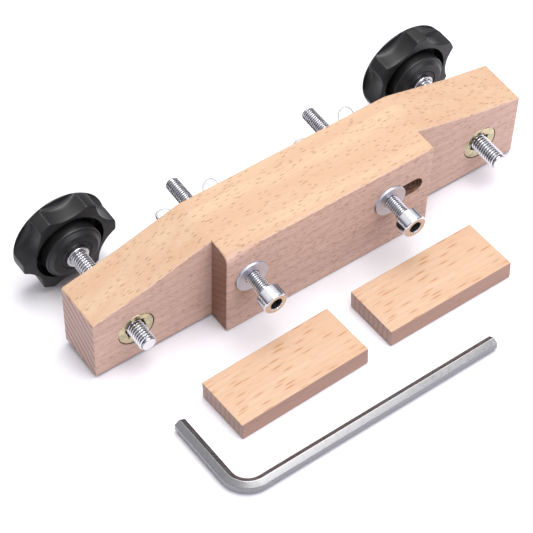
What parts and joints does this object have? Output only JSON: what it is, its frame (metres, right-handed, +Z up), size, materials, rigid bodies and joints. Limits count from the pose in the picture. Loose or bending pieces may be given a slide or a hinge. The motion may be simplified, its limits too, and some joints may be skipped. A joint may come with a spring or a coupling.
{
  "type": "beech clamping bar",
  "caption": "Beech clamping bar with star-knob screws, adjustable socket-head screws with wing nuts, loose wooden cauls and a hex key.",
  "frame": {"origin": "middle of the centre block's lower front edge, on the floor it rests on", "axes": "+X along the bar, +Y from the block towards the knobs, +Z up; the bar is tipped forward 4.6 degrees about X, as it lies"},
  "size_m": [0.1732, 0.1161, 0.0403],
  "materials": {
    "beech": "planed, unvarnished",
    "caul_beech": "planed, unvarnished, quarter sawn",
    "yellow_zinc": "yellow chromate over zinc",
    "bright_steel": "bright zinc plate",
    "washer_steel": "zinc plate, stamped",
    "knob_plastic": "black, satin moulded"
  },
  "bodies": {
    "bar": {"beech_bar": "beech", "left_insert_nut": "yellow_zinc", "right_insert_nut": "yellow_zinc"},
    "left_collar": {"left_stud_collar": "bright_steel"},
    "left_knob": {"left_star_knob": "knob_plastic", "left_knob_stud": "bright_steel"},
    "right_collar": {"right_stud_collar": "bright_steel"},
    "right_knob": {"right_star_knob": "knob_plastic", "right_knob_stud": "bright_steel"},
    "left_washers": {"left_front_washer": "washer_steel", "left_rear_washer": "washer_steel"},
    "left_screw": {"left_cap_screw": "bright_steel"},
    "left_nut": {"left_wing_nut": "bright_steel"},
    "right_carriage": {"right_front_washer": "washer_steel", "right_rear_washer": "washer_steel"},
    "right_screw": {"right_cap_screw": "bright_steel"},
    "right_nut": {"right_wing_nut": "bright_steel"},
    "left_caul": {"left_caul": "caul_beech"},
    "right_caul": {"right_caul": "caul_beech"},
    "hex_key": {"hex_key": "bright_steel"}
  },
  "joints": [
    {"name": "left_feed", "type": "slide", "parent": "bar", "child": "left_collar", "axis": [0, -0.9968, -0.0802], "range_m": [-0.015, 0.0156]},
    {"name": "left_knob_turn", "type": "hinge", "parent": "left_collar", "child": "left_knob", "pos_m": [-0.06925, 0.04294, 0.0175], "axis": [0, -0.9968, -0.0802], "range_deg": [-5400.5, 5616.5]},
    {"name": "right_feed", "type": "slide", "parent": "bar", "child": "right_collar", "axis": [0, -0.9968, -0.0802], "range_m": [-0.018, 0.0125]},
    {"name": "right_knob_turn", "type": "hinge", "parent": "right_collar", "child": "right_knob", "pos_m": [0.06925, 0.03984, 0.01725], "axis": [0, -0.9968, -0.0802], "range_deg": [-6480.5, 4500.5]},
    {"name": "left_washers_spin", "type": "hinge", "parent": "bar", "child": "left_washers", "pos_m": [-0.0314, -0.00239, 0.02348], "axis": [0, 0.9968, 0.0802], "continuous": true},
    {"name": "slot_slide", "type": "slide", "parent": "bar", "child": "right_carriage", "axis": [1, 0, 0], "range_m": [-0.0012, 0.0104]},
    {"name": "left_draw", "type": "slide", "parent": "bar", "child": "left_screw", "axis": [0, 0.9968, 0.0802], "range_m": [-0.012, 0.0081]},
    {"name": "left_nut_turn", "type": "hinge", "parent": "bar", "child": "left_nut", "pos_m": [-0.0314, 0.02612, 0.02578], "axis": [0, -0.9968, -0.0802], "range_deg": [-5400.5, 3645.5]},
    {"name": "right_draw", "type": "slide", "parent": "right_carriage", "child": "right_screw", "axis": [0, 0.9968, 0.0802], "range_m": [-0.012, 0.0081]},
    {"name": "right_nut_turn", "type": "hinge", "parent": "right_carriage", "child": "right_nut", "pos_m": [0.0234, 0.02612, 0.02578], "axis": [0, -0.9968, -0.0802], "range_deg": [-5400.5, 3645.5]},
    {"name": "left_caul_lift", "type": "slide", "parent": "bar", "child": "left_caul", "axis": [0, 0, 1], "range_m": [0, 0.008]},
    {"name": "right_caul_lift", "type": "slide", "parent": "bar", "child": "right_caul", "axis": [0, 0, 1], "range_m": [0, 0.008]},
    {"name": "hex_key_lift", "type": "slide", "parent": "bar", "child": "hex_key", "axis": [0, 0, 1], "range_m": [0, 0.008]}
  ],
  "couplings": [
    {"joint": "left_knob_turn", "follows": "left_feed", "rad_per_m": 6283.2},
    {"joint": "right_knob_turn", "follows": "right_feed", "rad_per_m": 6283.2},
    {"joint": "left_nut_turn", "follows": "left_draw", "rad_per_m": 7854},
    {"joint": "right_nut_turn", "follows": "right_draw", "rad_per_m": 7854}
  ]
}
